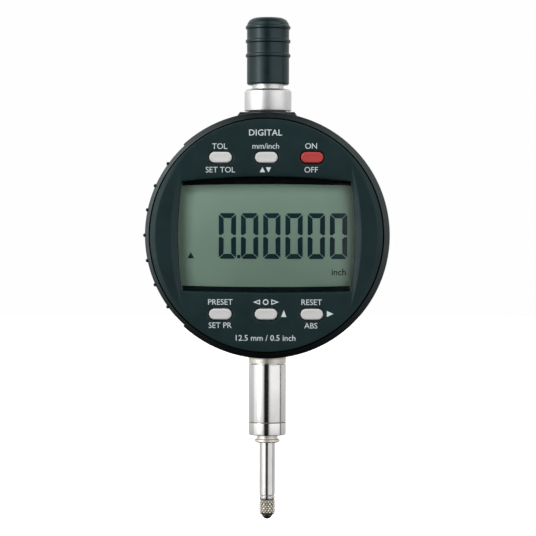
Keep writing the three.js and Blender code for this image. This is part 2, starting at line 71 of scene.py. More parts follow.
BODY_Z = centre_of("back_cover").z / MM          # height of the body's centre in the row frame
TIP_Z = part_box("contact_ball")[0].z / MM - BODY_Z
FACE_Y = round(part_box("display_shell")[0].y / MM, 3)
CASE_R = 30.8
SHELL_R = 29.05
GAP_R = 29.3            # inside of the case ring, round the display unit
STEM_R = (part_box("stem")[1].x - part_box("stem")[0].x) / 2 / MM

# ---------------------------------------------------------------- camera, light, floor

CAMERA_AWAY = 550.0      # mm from the spindle axis
CAMERA_HEIGHT = 0.5      # mm above the body's centre
CAMERA_RIGHT = 12.7
AIM = (0.1, 0, -8.35)    # what the middle of the picture shows
CAMERA_ROLL = 0.12       # degrees
VIEW_WIDTH = 137.3       # mm across at the spindle axis
FLOOR_UNDER_TIP = 14.0   # mm
FLOOR_REACH = 1700       # mm each way


def place(x, y, z):
    return Vector((x * MM, y * MM, (z + BODY_Z) * MM))


def make_camera():
    data = bpy.data.cameras.new("camera")
    data.sensor_width = 36
    data.lens = 18 / (VIEW_WIDTH / 2 / CAMERA_AWAY)
    data.clip_start, data.clip_end = 0.05, 50
    cam = bpy.data.objects.new("camera", data)
    bpy.context.scene.collection.objects.link(cam)
    cam.location = place(CAMERA_RIGHT, -CAMERA_AWAY, CAMERA_HEIGHT)
    look = (place(*AIM) - cam.location).to_track_quat("-Z", "Y")
    cam.rotation_euler = (look @ Quaternion((0, 0, 1), math.radians(CAMERA_ROLL))).to_euler()
    bpy.context.scene.camera = cam


def grey(v):
    return (v, v, v)


def ramp_node(tree, source, stops):
    """A colour ramp of (position, colour) stops driven by source."""
    ramp = tree.nodes.new("ShaderNodeValToRGB")
    elements = ramp.color_ramp.elements
    while len(elements) < len(stops):
        elements.new(0.5)
    for element, (position, colour) in zip(elements, stops):
        element.position = position
        element.color = (*colour, 1)
    tree.links.new(source, ramp.inputs["Fac"])
    return ramp.outputs["Color"]


WALLS = [  # degrees to the right of the camera's side, brightness of the studio wall there
    (-180, 0.60), (-130, 0.58), (-94, 0.60), (-88, 0.95), (-70, 1.05), (-34, 1.1), (-24, 0.75), (-17, 0.01),
    (8, 0.01), (13, 0.6), (24, 0.9), (66, 0.9), (85, 0.85), (88, 0.08), (93, 0.08), (97, 0.56), (124, 0.56),
    (180, 0.60),
]
HEIGHTS = [  # sine of the elevation, factor on the wall's brightness
    (-1.0, 0.0), (-0.8, 0.02), (-0.5, 0.3), (-0.2, 0.8), (0.0, 1.0), (0.4, 1.1), (0.7, 1.35), (0.82, 0.8),
    (0.93, 0.06), (1.0, 0.02),
]
STUDIO_LEVEL = 1.1


def make_world():
    """White to the camera; to all else a studio with bright side walls and a dark gap behind the camera."""
    world = bpy.data.worlds.new("studio")
    bpy.context.scene.world = world
    world.use_nodes = True
    tree = world.node_tree
    tree.nodes.clear()
    new, link = tree.nodes.new, tree.links.new
    coord = new("ShaderNodeTexCoord")
    split = new("ShaderNodeSeparateXYZ")
    link(coord.outputs["Generated"], split.inputs[0])
    towards = new("ShaderNodeMath")
    towards.operation = "MULTIPLY"
    towards.inputs[1].default_value = -1
    link(split.outputs["Y"], towards.inputs[0])
    azimuth = new("ShaderNodeMath")
    azimuth.operation = "ARCTAN2"
    link(split.outputs["X"], azimuth.inputs[0])
    link(towards.outputs[0], azimuth.inputs[1])
    turned = new("ShaderNodeMapRange")
    turned.inputs["From Min"].default_value = -math.pi
    turned.inputs["From Max"].default_value = math.pi
    link(azimuth.outputs[0], turned.inputs["Value"])
    raised = new("ShaderNodeMapRange")
    raised.inputs["From Min"].default_value = -1
    link(split.outputs["Z"], raised.inputs["Value"])
    around = ramp_node(tree, turned.outputs["Result"], [((a + 180) / 360, grey(v)) for a, v in WALLS])
    # the height factor is stored halved, and the studio's strength doubles it again
    upward = ramp_node(tree, raised.outputs["Result"], [((h + 1) / 2, grey(v / 2)) for h, v in HEIGHTS])
    product = new("ShaderNodeMath")
    product.operation = "MULTIPLY"
    link(around, product.inputs[0])
    link(upward, product.inputs[1])
    studio = new("ShaderNodeBackground")
    studio.inputs["Strength"].default_value = 2 * STUDIO_LEVEL
    link(product.outputs[0], studio.inputs["Color"])
    plain = new("ShaderNodeBackground")
    plain.inputs["Color"].default_value = (0.99, 0.99, 0.99, 1)
    path = new("ShaderNodeLightPath")
    mix = new("ShaderNodeMixShader")
    link(path.outputs["Is Camera Ray"], mix.inputs["Fac"])
    link(studio.outputs[0], mix.inputs[1])
    link(plain.outputs[0], mix.inputs[2])
    out = new("ShaderNodeOutputWorld")
    link(mix.outputs[0], out.inputs["Surface"])


def make_floor():
    """A pale floor with a sun of its own; mirrored and bounced rays pass it, so it doesn't light the object."""
    z = TIP_Z - FLOOR_UNDER_TIP
    data = bpy.data.meshes.new("floor")
    corners = [(-1, -1), (1, -1), (1, 1), (-1, 1)]
    data.from_pydata([place(FLOOR_REACH * u, FLOOR_REACH * v, z) for u, v in corners], [], [(0, 1, 2, 3)])
    floor = bpy.data.objects.new("floor", data)
    bpy.context.scene.collection.objects.link(floor)
    mat = bpy.data.materials.new("floor_pale")
    mat.use_nodes = True
    tree = mat.node_tree
    shader = tree.nodes["Principled BSDF"]
    shader.inputs["Roughness"].default_value = 0.9
    shader.inputs["Specular IOR Level"].default_value = 0.1
    noise = tree.nodes.new("ShaderNodeTexNoise")
    noise.inputs["Scale"].default_value = 40
    paint = ramp_node(tree, noise.outputs["Fac"], [(0, grey(0.86)), (1, grey(0.88))])
    tree.links.new(paint, shader.inputs["Base Color"])
    data.materials.append(mat)
    floor.visible_glossy = False
    floor.visible_diffuse = False
    lit = bpy.data.collections.new("floor_only")
    lit.objects.link(floor)
    sun = bpy.data.objects.new("floor_light", bpy.data.lights.new("floor_light", "SUN"))
    sun.data.energy = 3.2
    sun.data.angle = math.radians(50)
    sun.rotation_euler = (math.radians(12), math.radians(8), 0)
    bpy.context.scene.collection.objects.link(sun)
    sun.light_linking.receiver_collection = lit


def soft_lamp(name, x, y, z, size, power, seen_in_metal=False):
    """A soft box that looks at the middle of the body."""
    data = bpy.data.lights.new(name, "AREA")
    data.shape = "RECTANGLE"
    data.size, data.size_y = size
    data.energy = power
    lamp = bpy.data.objects.new(name, data)
    bpy.context.scene.collection.objects.link(lamp)
    lamp.location = place(x, y, z)
    lamp.rotation_euler = (place(0, 0, 0) - lamp.location).to_track_quat("-Z", "Y").to_euler()
    lamp.visible_camera = False
    lamp.visible_glossy = seen_in_metal


make_camera()
make_world()
make_floor()
soft_lamp("key_left", -420, -330, 230, (0.5, 0.6), 0.36)
soft_lamp("near_top", -60, -190, 230, (0.25, 0.2), 0.46)
soft_lamp("fill_right", 420, -330, 120, (0.4, 0.6), 0.5)
soft_lamp("strip_left", -470, -370, 120, (0.2, 0.6), 1.0, True)
bpy.context.scene.view_settings.view_transform = "Standard"

# ---------------------------------------------------------------- materials


def blank_material(name):
    mat = bpy.data.materials.new(name)
    mat.use_nodes = True
    tree = mat.node_tree
    return mat, tree, tree.nodes["Principled BSDF"]


def noise_node(tree, scale, detail=3.0, stretch=None):
    noise = tree.nodes.new("ShaderNodeTexNoise")
    noise.inputs["Scale"].default_value = scale
    noise.inputs["Detail"].default_value = detail
    coord = tree.nodes.new("ShaderNodeTexCoord")
    where = coord.outputs["Object"]
    if stretch:
        mapping = tree.nodes.new("ShaderNodeMapping")
        mapping.inputs["Scale"].default_value = stretch
        tree.links.new(where, mapping.inputs["Vector"])
        where = mapping.outputs["Vector"]
    tree.links.new(where, noise.inputs["Vector"])
    return noise


def bump_from(tree, shader, sources):
    """sources: (height output, strength, distance in metres), laid over each other."""
    last = None
    for height, strength, distance in sources:
        bump = tree.nodes.new("ShaderNodeBump")
        bump.inputs["Strength"].default_value = strength
        bump.inputs["Distance"].default_value = distance
        tree.links.new(height, bump.inputs["Height"])
        if last is not None:
            tree.links.new(last.outputs["Normal"], bump.inputs["Normal"])
        last = bump
    tree.links.new(last.outputs["Normal"], shader.inputs["Normal"])


def scaled(colour, factor):
    return tuple(min(1.0, c * factor) for c in colour)


def plastic(name, colour, roughness, specular=0.35, grain=9000, grain_depth=0.000006, mottling=0.12,
            tint=(1, 1, 1)):
    """Moulded plastic: fine spark-eroded grain, slow colour mottling, uneven gloss where it is handled."""
    mat, tree, shader = blank_material(name)
    slow = noise_node(tree, 140, 4)
    shades = [(0.3, scaled(colour, 1 - mottling)), (0.7, scaled(colour, 1 + mottling))]
    colours = ramp_node(tree, slow.outputs["Fac"], shades)
    tree.links.new(colours, shader.inputs["Base Color"])
    patches = noise_node(tree, 320, 5)
    worn, matt = grey(roughness - 0.05), grey(roughness + 0.07)
    gloss = ramp_node(tree, patches.outputs["Fac"], [(0.3, worn), (0.75, matt)])
    tree.links.new(gloss, shader.inputs["Roughness"])
    shader.inputs["Specular IOR Level"].default_value = specular
    shader.inputs["Specular Tint"].default_value = (*tint, 1)
    fine = noise_node(tree, grain, 2)
    coarse = noise_node(tree, grain * 0.28, 2)
    bump_from(tree, shader, [
        (coarse.outputs["Fac"], 0.25, grain_depth * 2), (fine.outputs["Fac"], 0.5, grain_depth),
    ])
    return mat


def metal(name, colour, roughness, lines=(1, 1, 60), line_scale=900, line_depth=0.0000015, tarnish=0.06,
          anisotropic=0.0):
    """Turned or ground metal: fine tool lines round the part, faint scratches, a little tarnish."""
    mat, tree, shader = blank_material(name)
    shader.inputs["Metallic"].default_value = 1
    shader.inputs["Anisotropic"].default_value = anisotropic
    cloud = noise_node(tree, 220, 4)
    shades = [(0.3, scaled(colour, 1 - tarnish)), (0.7, scaled(colour, 1 + tarnish * 0.5))]
    colours = ramp_node(tree, cloud.outputs["Fac"], shades)
    tree.links.new(colours, shader.inputs["Base Color"])
    tool = noise_node(tree, line_scale, 3, lines)
    smooth, rough = grey(max(0.03, roughness - 0.05)), grey(roughness + 0.05)
    gloss = ramp_node(tree, tool.outputs["Fac"], [(0.25, smooth), (0.75, rough)])
    tree.links.new(gloss, shader.inputs["Roughness"])
    scratch = noise_node(tree, 2600, 2, (1, 1, 0.12))
    bump_from(tree, shader, [
        (tool.outputs["Fac"], 0.35, line_depth * 4), (scratch.outputs["Fac"], 0.12, line_depth),
    ])
    return mat


def clear_window(name):
    """Clear hard-coated window: light passes straight through, and its surface mirrors at a slant."""
    mat, tree, shader = blank_material(name)
    tree.nodes.remove(shader)
    out = next(n for n in tree.nodes if n.type == "OUTPUT_MATERIAL")
    through = tree.nodes.new("ShaderNodeBsdfTransparent")
    through.inputs["Color"].default_value = (0.975, 0.985, 0.98, 1)
    gloss = tree.nodes.new("ShaderNodeBsdfGlossy")
    smear = noise_node(tree, 260, 4)
    rough = ramp_node(tree, smear.outputs["Fac"], [(0.35, grey(0.04)), (0.7, grey(0.09))])
    tree.links.new(rough, gloss.inputs["Roughness"])
    fresnel = tree.nodes.new("ShaderNodeFresnel")
    fresnel.inputs["IOR"].default_value = 1.45
    mix = tree.nodes.new("ShaderNodeMixShader")
    tree.links.new(fresnel.outputs[0], mix.inputs["Fac"])
    tree.links.new(through.outputs[0], mix.inputs[1])
    tree.links.new(gloss.outputs[0], mix.inputs[2])
    tree.links.new(mix.outputs[0], out.inputs["Surface"])
    return mat


def lcd_material(name):
    """Reflective LCD: a grey-green scattering film behind glass, with very fine sparkle."""
    mat, tree, shader = blank_material(name)
    film = noise_node(tree, 6000, 2)
    slow = noise_node(tree, 60, 3)
    mixed = tree.nodes.new("ShaderNodeMath")
    mixed.operation = "MULTIPLY_ADD"
    mixed.inputs[1].default_value = 0.35
    tree.links.new(film.outputs["Fac"], mixed.inputs[0])
    tree.links.new(slow.outputs["Fac"], mixed.inputs[2])
    colours = ramp_node(tree, mixed.outputs[0], [(0.45, (0.435, 0.62, 0.505)), (0.9, (0.495, 0.70, 0.575))])
    tree.links.new(colours, shader.inputs["Base Color"])
    shader.inputs["Roughness"].default_value = 0.42
    shader.inputs["Specular IOR Level"].default_value = 0.3
    bump_from(tree, shader, [(film.outputs["Fac"], 0.15, 0.000004)])
    return mat


MAT = {
    "case": plastic("case_plastic", (0.003, 0.0055, 0.0058), 0.32, 0.66, tint=(0.86, 0.98, 1.0)),
    "shell": plastic("shell_plastic", (0.0070, 0.0180, 0.0196), 0.43, 0.29, tint=(0.8, 0.98, 1.0)),
    "cover": plastic("cover_plastic", (0.007, 0.010, 0.0105), 0.5, 0.5, 5000, 0.00001),
    "cap": plastic("cap_plastic", (0.006, 0.014, 0.016), 0.3, 0.52, 7000, 0.000003, tint=(0.78, 0.98, 1.0)),
    "dark": plastic("dark_plastic", (0.0035, 0.0055, 0.006), 0.6, 0.15),
    "key": plastic("key_plastic", (0.535, 0.532, 0.528), 0.5, 0.35, 7000, 0.000004, 0.03),
    "key_red": plastic("key_red_plastic", (0.37, 0.042, 0.038), 0.48, 0.35, 7000, 0.000004, 0.05),
    "print": plastic("print_white", (0.54, 0.60, 0.62), 0.6, 0.2, 9000, 0.000002, 0.04),
    "segment": plastic("lcd_segment", (0.014, 0.050, 0.068), 0.4, 0.25, 9000, 0.000001, 0.1),
    "ghost": plastic("lcd_segment_thin", (0.022, 0.062, 0.075), 0.4, 0.25, 9000, 0.000001, 0.1),
    "lcd": lcd_material("lcd_film"),
    "window": clear_window("window_clear"),
    # light opaque plastic for the lens's left and right edges: a painted highlight for their bright edge lines
    "window_edge_painted_highlight": plastic("window_edge_painted_highlight", (0.40, 0.47, 0.38), 0.3, 0.5, 4000, 0.000002, 0.1),
    "steel": metal("polished_steel", (0.87, 0.86, 0.85), 0.13),
    "spindle": metal("ground_spindle", (0.87, 0.86, 0.845), 0.18),
    "satin": metal("satin_aluminium", (0.90, 0.90, 0.895), 0.42, (1, 1, 30), 1200, 0.000003, 0.04, 0.4),
    "warm": metal("warm_nickel", (0.99, 0.94, 0.84), 0.47, (1, 1, 40), 1100, 0.000002),
    "knurl": metal("knurled_steel", (0.98, 0.91, 0.82), 0.38, (1, 1, 8), 1500, 0.000003, 0.15),
    # near-black copy of the knurled metal: painted shade in the knurl's hollows and on the rings below it
    "knurl_hollow_shade": metal("knurl_hollow_painted_shade", (0.12, 0.095, 0.075), 0.5, (1, 1, 8), 1500, 0.000003, 0.2),
    # darker copy of the steel for the stem's groove: painted shade in the groove
    "groove": metal("stem_groove_painted_shade", (0.40, 0.37, 0.34), 0.45),
    "carbide": metal("carbide", (0.36, 0.35, 0.33), 0.3, (1, 1, 1), 1500, 0.000001),
    "brass": metal("contact_bronze", (0.62, 0.45, 0.2), 0.3),
    "zinc": metal("zinc_plate", (0.55, 0.56, 0.58), 0.33, (1, 1, 6), 1400, 0.000002, 0.1),
    "board": plastic("solder_mask", (0.012, 0.09, 0.04), 0.35, 0.5, 3000, 0.000006, 0.2),
    "rubber": plastic("rubber_part", (0.03, 0.032, 0.034), 0.8, 0.25, 5000, 0.00001, 0.2),
}

# ---------------------------------------------------------------- mesh tools


def mesh_object(name, verts, faces, mats, smooth=SHARP_ANGLE, face_slots=None):
    data = bpy.data.meshes.new(name)
    data.from_pydata([tuple(place(*v)) for v in verts], [], faces)
    for mat in mats if isinstance(mats, (list, tuple)) else [mats]:
        data.materials.append(mat)
    if face_slots is not None:
        data.polygons.foreach_set("material_index", face_slots)
    tidy_mesh(data, smooth)
    thing = bpy.data.objects.new(name, data)
    bpy.context.scene.collection.objects.link(thing)
    return thing


def tidy_mesh(data, smooth):
    work = bmesh.new()
    work.from_mesh(data)
    bmesh.ops.remove_doubles(work, verts=work.verts, dist=1e-8)
    bmesh.ops.recalc_face_normals(work, faces=work.faces)
    work.to_mesh(data)
    work.free()
    data.shade_smooth()
    data.set_sharp_from_angle(angle=math.radians(smooth))
    data.update()


def fillet(points, steps=4):
    """points are (r, h) or (r, h, fillet radius); corners with a radius are rounded."""
    closed = points[0][:2] == points[-1][:2]
    core = points[:-1] if closed else points
    out = []
    count = len(core)
    for i, point in enumerate(core):
        radius = point[2] if len(point) > 2 else 0
        at_end = not closed and i in (0, count - 1)
        if radius <= 0 or at_end:
            out.append((point[0], point[1]))
            continue
        p = Vector(point[:2])
        a = Vector(core[(i - 1) % count][:2]) - p
        b = Vector(core[(i + 1) % count][:2]) - p
        half = a.angle(b) / 2
        if half > math.pi / 2 - 0.02:
            out.append((p.x, p.y))
            continue
        run = min(radius / math.tan(half), a.length * 0.48, b.length * 0.48)
        r = run * math.tan(half)
        middle = p + (a.normalized() + b.normalized()).normalized() * (r / math.sin(half))
        start, end = p + a.normalized() * run - middle, p + b.normalized() * run - middle
        sweep = start.angle_signed(end)
        first = math.atan2(start.y, start.x)
        for k in range(steps + 1):
            angle = first - sweep * k / steps
            out.append((middle.x + r * math.cos(angle), middle.y + r * math.sin(angle)))
    if closed:
        out.append(out[0])
    return out


def lathe_data(points, axis, segments, centre=(0, 0), slot_at=None):
    closed = math.dist(points[0], points[-1]) < 1e-9
    rows = points[:-1] if closed else points
    verts, index, faces, slots = [], [], [], []
    for r, h in rows:
        if r < 1e-6:
            index.append([len(verts)] * segments)
            verts.append((centre[0], h, centre[1]) if axis == "Y" else (centre[0], centre[1], h))
            continue
        index.append(list(range(len(verts), len(verts) + segments)))
        for s in range(segments):
            a = 2 * math.pi * s / segments
            u, v = r * math.cos(a), r * math.sin(a)
            across, along = centre[0] + u, centre[1] + v
            verts.append((across, h, along) if axis == "Y" else (across, along, h))
    pairs = [(i, i + 1) for i in range(len(rows) - 1)] + ([(len(rows) - 1, 0)] if closed else [])
    for i, j in pairs:
        for s in range(segments):
            t = (s + 1) % segments
            ring = [index[i][s], index[i][t], index[j][t], index[j][s]]
            face = [v for k, v in enumerate(ring) if v != ring[k - 1]]
            if len(face) > 2:
                faces.append(face)
                slots.append(slot_at(rows[i], rows[j]) if slot_at else 0)
    return verts, faces, slots


def lathe(name, points, mats, axis="Z", segments=96, centre=(0, 0), steps=4, slot_at=None):
    verts, faces, slots = lathe_data(fillet(points, steps), axis, segments, centre, slot_at)
    return mesh_object(name, verts, faces, mats, SHARP_ANGLE, slots)


def boolean(target, tool, operation):
    step = target.modifiers.new("cut", "BOOLEAN")
    step.operation = operation
    step.solver = "EXACT"
    step.object = tool
    graph = bpy.context.evaluated_depsgraph_get()
    made = bpy.data.meshes.new_from_object(target.evaluated_get(graph))
    target.modifiers.clear()
    old, made.name = target.data, target.name
    target.data = made
    bpy.data.meshes.remove(old)
    bpy.data.objects.remove(tool)
    made.shade_smooth()
    made.set_sharp_from_angle(angle=math.radians(SHARP_ANGLE))


def inset(loop, distance):
    """A convex loop of (x, z) moved inwards by distance along its corner normals."""
    pts = np.array(loop)
    ahead, behind = np.roll(pts, -1, 0) - pts, pts - np.roll(pts, 1, 0)
    n1 = np.stack([-ahead[:, 1], ahead[:, 0]], 1)
    n2 = np.stack([-behind[:, 1], behind[:, 0]], 1)
    n1 /= np.linalg.norm(n1, axis=1)[:, None] + 1e-12
    n2 /= np.linalg.norm(n2, axis=1)[:, None] + 1e-12
    mid = n1 + n2
    mid /= np.linalg.norm(mid, axis=1)[:, None]
    reach = distance / np.maximum(0.35, (mid * n1).sum(1))
    area = 0.5 * (pts[:, 0] * np.roll(pts[:, 1], -1) - pts[:, 1] * np.roll(pts[:, 0], -1)).sum()
    sign = 1 if area > 0 else -1
    return [tuple(p) for p in pts + mid * (sign * reach)[:, None]]


def loft(name, loop, levels, mats, smooth=SHARP_ANGLE, slots=None):
    """Closed solid from one outline: levels are (inset, y); the first and last are capped."""
    verts, faces, face_slots = [], [], []
    count = len(loop)
    for distance, y in levels:
        for x, z in inset(loop, distance) if distance else loop:
            verts.append((x, y, z))
    for level in range(len(levels) - 1):
        for i in range(count):
            j = (i + 1) % count
            a, b = level * count, (level + 1) * count
            faces.append((a + i, a + j, b + j, b + i))
            face_slots.append(slots[level] if slots else 0)
    faces.append(tuple(range(count)))
    faces.append(tuple(range((len(levels) - 1) * count, len(levels) * count)))
    face_slots += [slots[-1] if slots else 0] * 2
    return mesh_object(name, verts, faces, mats, smooth, face_slots)


def pill(w, h, x=0.0, z=0.0, steps=14):
    r, run = h / 2, w / 2 - h / 2
    loop = []
    for side in (1, -1):
        for k in range(steps + 1):
            a = math.pi * (k / steps - 0.5) + (0 if side > 0 else math.pi)
            loop.append((x + side * run + r * math.cos(a), z + r * math.sin(a)))
    return loop


def circle(r, x=0.0, z=0.0, count=48):
    turns = [2 * math.pi * k / count for k in range(count)]
    return [(x + r * math.cos(a), z + r * math.sin(a)) for a in turns]


def barrel(half, corner, top, top_corner, bottom, bottom_corner, steps=28):
    """Barrel outline: bulging sides, arched top and bottom edges, anticlockwise."""
    def edge(p, q, bow, axis):
        points = []
        for k in range(steps):
            t = k / steps
            swell = 4 * t * (1 - t) * bow
            x, z = p[0] + (q[0] - p[0]) * t, p[1] + (q[1] - p[1]) * t
            points.append((x + swell, z) if axis == 0 else (x, z + swell))
        return points
    a, b = (-corner, bottom_corner), (corner, bottom_corner)
    c, d = (corner, top_corner), (-corner, top_corner)
    loop = edge(a, b, bottom - bottom_corner, 1) + edge(b, c, half - corner, 0)
    return loop + edge(c, d, top - top_corner, 1) + edge(d, a, corner - half, 0)


def inside(points, loop):
    """Which of points (N by 2) lie in the closed loop."""
    pts, poly = np.asarray(points), np.asarray(loop)
    hit = np.zeros(len(pts), bool)
    for (x1, z1), (x2, z2) in zip(poly, np.roll(poly, -1, 0)):
        if z1 == z2:
            continue
        crosses = (pts[:, 1] > z1) != (pts[:, 1] > z2)
        at = x1 + (pts[:, 1] - z1) * (x2 - x1) / (z2 - z1)
        hit ^= crosses & (pts[:, 0] < at)
    return hit


def triangulate(outer, holes, guides=(), grid=None):
    """Triangles between an outer loop and holes. Returns points, faces and the loops' indices."""
    coords, edges, loops = [], [], []
    for loop in [outer, *holes]:
        start = len(coords)
        coords += loop
        loops.append(range(start, start + len(loop)))
        edges += [(start + i, start + (i + 1) % len(loop)) for i in range(len(loop))]
    fence = len(coords)
    for line in guides:
        keep = inside(line, inset(outer, 0.08))
        for hole in holes:
            keep &= ~inside(line, inset(hole, -0.04))
        start = None
        for point, good in zip(line, keep):
            if not good:
                start = None
                continue
            coords.append(tuple(point))
            if start is not None:
                edges.append((start, len(coords) - 1))
            start = len(coords) - 1
    if grid:
        xs = np.arange(-30, 30, grid)
        cloud = np.array([(x + (grid / 2 if k % 2 else 0), z) for k, z in enumerate(xs * 0.9) for x in xs])
        keep = inside(cloud, inset(outer, grid * 0.4))
        for hole in holes:
            keep &= ~inside(cloud, inset(hole, -grid * 0.4))
        cloud = cloud[keep]
        known = np.array(coords)
        near = np.array([np.min(np.hypot(*(known - p).T)) for p in cloud])
        coords += [tuple(p) for p in cloud[near > grid * 0.42]]
    points, _, faces, origin, _, _ = delaunay_2d_cdt([Vector(c) for c in coords], edges, [], 0, 1e-7, True)
    flat = np.array([(p.x, p.y) for p in points])
    centres = np.array([flat[list(f)].mean(0) for f in faces])
    keep = inside(centres, outer)
    for hole in holes:
        keep &= ~inside(centres, hole)
    where = {s: i for i, sources in enumerate(origin) for s in sources if s < fence}
    return flat, [tuple(f) for f, k in zip(faces, keep) if k], [[where[i] for i in loop] for loop in loops]


def replace(piece, body, slot, *nodes):
    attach(piece, body)
    if nodes:
        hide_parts(*nodes)
    return piece


# ---------------------------------------------------------------- front shell of the display unit

GRIP_R = 30.36        # the sunk band between the grip ribs on the left
GRIP_HALF_ANGLE = 47.5   # degrees each way
RIB_PITCH = 12           # degrees
TROUGH = 1.0          # how far the middle of the face lies behind the side shoulders
TROUGH_REACH = 20.0   # it fades out this far above and below the centre
RAMP_SLOPE = 0.5
BEVEL_R = 27.72       # inner edge of the side bevels
BEVEL_SLOPE = 0.5
PLATE_BACK = -14.4
SHELL_INNER_R = 27.6
SHELL_BACK = -5.4
EDGE = 0.16           # rounding of the edges of the holes


def ramp_outer(z):
    return 23.72 - 0.0085 * z * z


def trough_depth(z):
    return TROUGH * np.clip(1 - (z / TROUGH_REACH) ** 2, 0, 1) ** 2


def face_raw(x, z):
    """Depth of the face behind FACE_Y."""
    side = np.abs(x)
    depth = np.clip((ramp_outer(z) - side) * RAMP_SLOPE, 0, trough_depth(z))
    fade = np.clip(1.25 - (z / 20.0) ** 2, 0, 1)
    bevel = np.clip(np.hypot(side, z) - BEVEL_R - 0.0012 * z * z, 0, None) * BEVEL_SLOPE * fade
    return depth + bevel


def face_y(x, z):
    """The face with its creases rounded: the mean of nearby depths."""
    x, z = np.asarray(x, float), np.asarray(z, float)
    total = face_raw(x, z) * 2
    weight = 2
    for reach in (0.1, 0.2):
        for k in range(8):
            a = math.pi * k / 4
            total = total + face_raw(x + reach * math.cos(a), z + reach * math.sin(a))
            weight += 1
    return FACE_Y + total / weight


KEY_X = [centre_of(f"key_top_{c}").x / MM for c in ("left", "middle", "right")]
KEY_Z = {row: centre_of(f"key_{row}_left").z / MM - BODY_Z for row in ("top", "bottom")}
KEY_PLACES = [(row, column, KEY_X[i], KEY_Z[row]) for row in ("top", "bottom")
              for i, column in enumerate(("left", "middle", "right"))]
WINDOW = barrel(22.05, 21.15, 14.7, 13.4, -14.25, -13.85)


def face_guides():
    z = np.linspace(-19.9, 19.9, 90)
    lines = []
    for side in (-1, 1):
        for shift in (-0.22, 0, 0.22):
            lines.append(np.stack([side * (ramp_outer(z) + shift), z], 1))
            ramp_inner = ramp_outer(z) - trough_depth(z) / RAMP_SLOPE - 0.03
            lines.append(np.stack([side * (ramp_inner + shift), z], 1))
            a = np.linspace(-0.86, 0.86, 110)
            r = BEVEL_R + 0.0012 * (BEVEL_R * np.sin(a)) ** 2 + shift
            lines.append(np.stack([side * r * np.cos(a), r * np.sin(a)], 1))
    return lines


def make_display_shell():
    rim = circle(SHELL_R - 0.2, count=240)
    holes = [WINDOW] + [pill(6.1, 3.2, x, z) for _, _, x, z in KEY_PLACES]
    soft = [(0.0, EDGE), (0.045, EDGE * 0.4), (EDGE, 0.0)]
    wide = [inset(h, -EDGE) for h in holes]
    flat, tris, loops = triangulate(rim, wide, face_guides(), 0.9)
    heights = face_y(flat[:, 0], flat[:, 1])
    verts = [(x, y, z) for (x, z), y in zip(flat, heights)]
    faces = list(tris)

    def add_loop(points, ys):
        start = len(verts)
        verts.extend((x, y, z) for (x, z), y in zip(points, ys))
        return list(range(start, start + len(points)))

    def bridge(a, b):
        for i in range(len(a)):
            j = (i + 1) % len(a)
            faces.append((a[i], a[j], b[j], b[i]))

    last_loops = []
    for hole, big, loop in zip(holes, wide, loops[1:]):
        base = np.array([verts[i][1] for i in loop])
        previous = loop
        for offset, drop in reversed(soft[:-1]):
            ring = add_loop(inset(hole, -offset) if offset else hole, base + drop)
            bridge(previous, ring)
            previous = ring
        last_loops.append(previous)
    base = np.array([verts[i][1] for i in loops[0]])
    previous = loops[0]
    for r, drop in ((SHELL_R - 0.1, 0.03), (SHELL_R - 0.03, 0.1), (SHELL_R, 0.22)):
        ring = add_loop(circle(r, count=240), base + drop)
        bridge(previous, ring)
        previous = ring
    skirt = [(SHELL_R, -12.0), (SHELL_R, SHELL_BACK)]
    for r, y in skirt + [(SHELL_INNER_R, SHELL_BACK), (SHELL_INNER_R, PLATE_BACK)]:
        ring = add_loop(circle(r, count=240), [y] * 240)
        bridge(previous, ring)
        previous = ring
    back, back_tris, back_loops = triangulate(circle(SHELL_INNER_R, count=240), holes)
    start = len(verts)
    verts.extend((x, PLATE_BACK, z) for x, z in back)
    faces.extend(tuple(i + start for i in f) for f in back_tris)
    bridge(previous, [i + start for i in back_loops[0]])
    for front, behind in zip(last_loops, back_loops[1:]):
        bridge(front, [i + start for i in behind])
    shell = mesh_object("display_front_shell", verts, faces, MAT["shell"], 38)
    replace(shell, "display", "shell_black", "display_shell")


